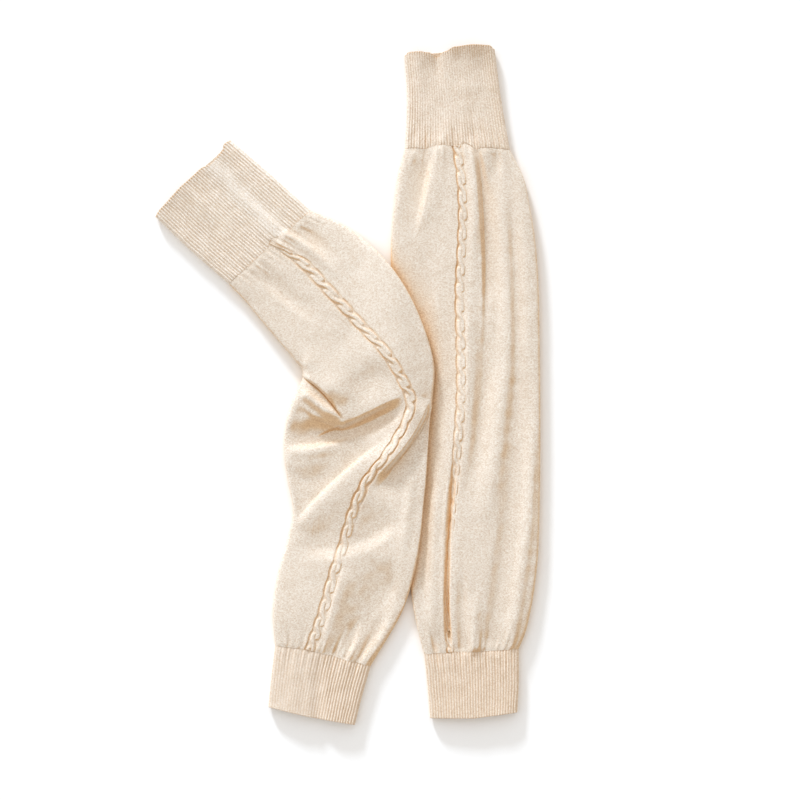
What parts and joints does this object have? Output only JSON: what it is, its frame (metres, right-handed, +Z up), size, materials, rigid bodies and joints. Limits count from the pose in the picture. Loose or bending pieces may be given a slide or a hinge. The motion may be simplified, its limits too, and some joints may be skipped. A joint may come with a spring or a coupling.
{
  "type": "pair of leg warmers",
  "caption": "Pair of fine-knit leg warmers laid flat, one straight and one bent over its edge, with a rope cable down the front and ribbed cuffs.",
  "frame": {"origin": "on the surface the pair lies on, under the middle of the whole pair's box", "axes": "+Z up from the surface, +Y along the straight leg warmer towards its wide top cuff, +X to the right across the pair"},
  "size_m": [0.3316, 0.5844, 0.023],
  "materials": {
    "straight_knit": "matte, softly napped plain knit",
    "straight_rib": "matte fine rib",
    "bent_knit": "matte, softly napped plain knit",
    "bent_rib": "matte fine rib"
  },
  "bodies": {
    "root": {"straight_top_cuff": "straight_rib", "straight_body": "straight_knit", "straight_bottom_cuff": "straight_rib", "bent_top_cuff": "bent_rib", "bent_body": "bent_knit", "bent_bottom_cuff": "bent_rib"}
  },
  "joints": []
}
